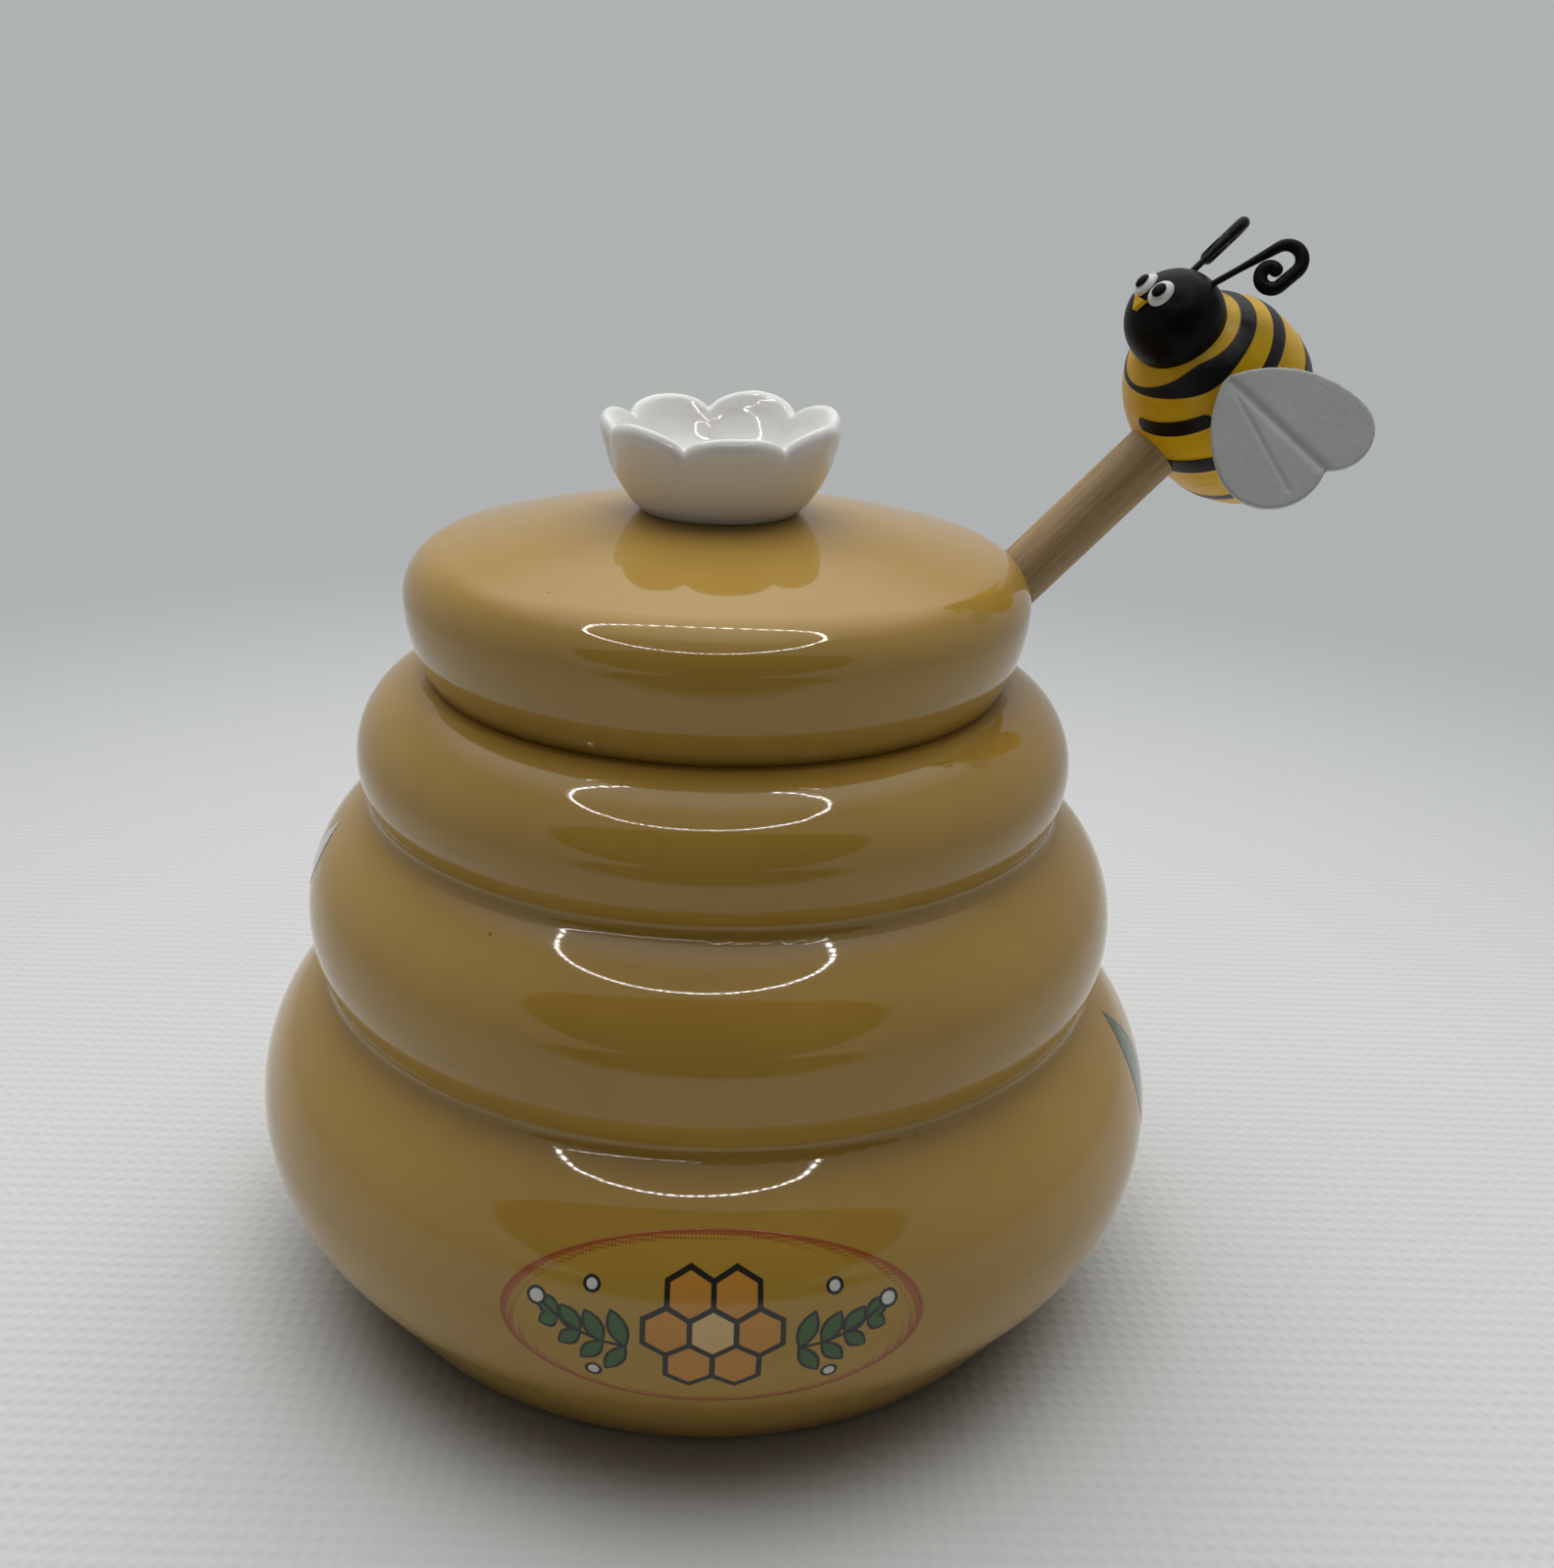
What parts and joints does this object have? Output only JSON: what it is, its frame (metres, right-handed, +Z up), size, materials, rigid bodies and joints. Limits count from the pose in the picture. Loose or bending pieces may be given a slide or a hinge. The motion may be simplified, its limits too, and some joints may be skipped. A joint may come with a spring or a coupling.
{
  "type": "honey pot",
  "caption": "Beehive-shaped glazed honey pot with a lift-off lid, a flower knob and a wooden dipper that leans out of the mouth and carries a bee figure.",
  "frame": {"origin": "middle of the pot's flat foot, on the surface that it stands on", "axes": "+Z up along the pot's axis; the front faces -Y; the dipper leans out towards +X"},
  "size_m": [0.1366, 0.12, 0.1356],
  "materials": {
    "honey_glaze": "glossy honey glaze",
    "white_glaze": "glossy white glaze",
    "orange_glaze": "glossy orange glaze",
    "dowel_wood": "bare sanded wood",
    "bee_yellow": "semi-gloss paint on cast resin",
    "bee_black": "semi-gloss paint on cast resin",
    "wing_white": "satin white",
    "eye_white": "gloss paint"
  },
  "bodies": {
    "pot": {"pot_body": "honey_glaze"},
    "lid": {"lid": "honey_glaze", "flower_knob": "white_glaze", "flower_button": "orange_glaze"},
    "dipper": {"dipper_rod": "dowel_wood", "dipper_head": "dowel_wood", "bee_body": "bee_yellow", "bee_head": "bee_black", "bee_antenna_left": "bee_black", "bee_antenna_right": "bee_black", "bee_wing_left": "wing_white", "bee_wing_right": "wing_white", "bee_nose": "bee_yellow", "bee_eye_left": "eye_white", "bee_eye_right": "eye_white", "bee_pupil_left": "bee_black", "bee_pupil_right": "bee_black"}
  },
  "joints": [
    {"name": "lid_lift", "type": "slide", "parent": "pot", "child": "lid", "axis": [0, 0, 1], "range_m": [0, 0.07]},
    {"name": "dipper_draw", "type": "slide", "parent": "pot", "child": "dipper", "axis": [0.6964, 0.1228, 0.7071], "range_m": [0, 0.055]}
  ]
}
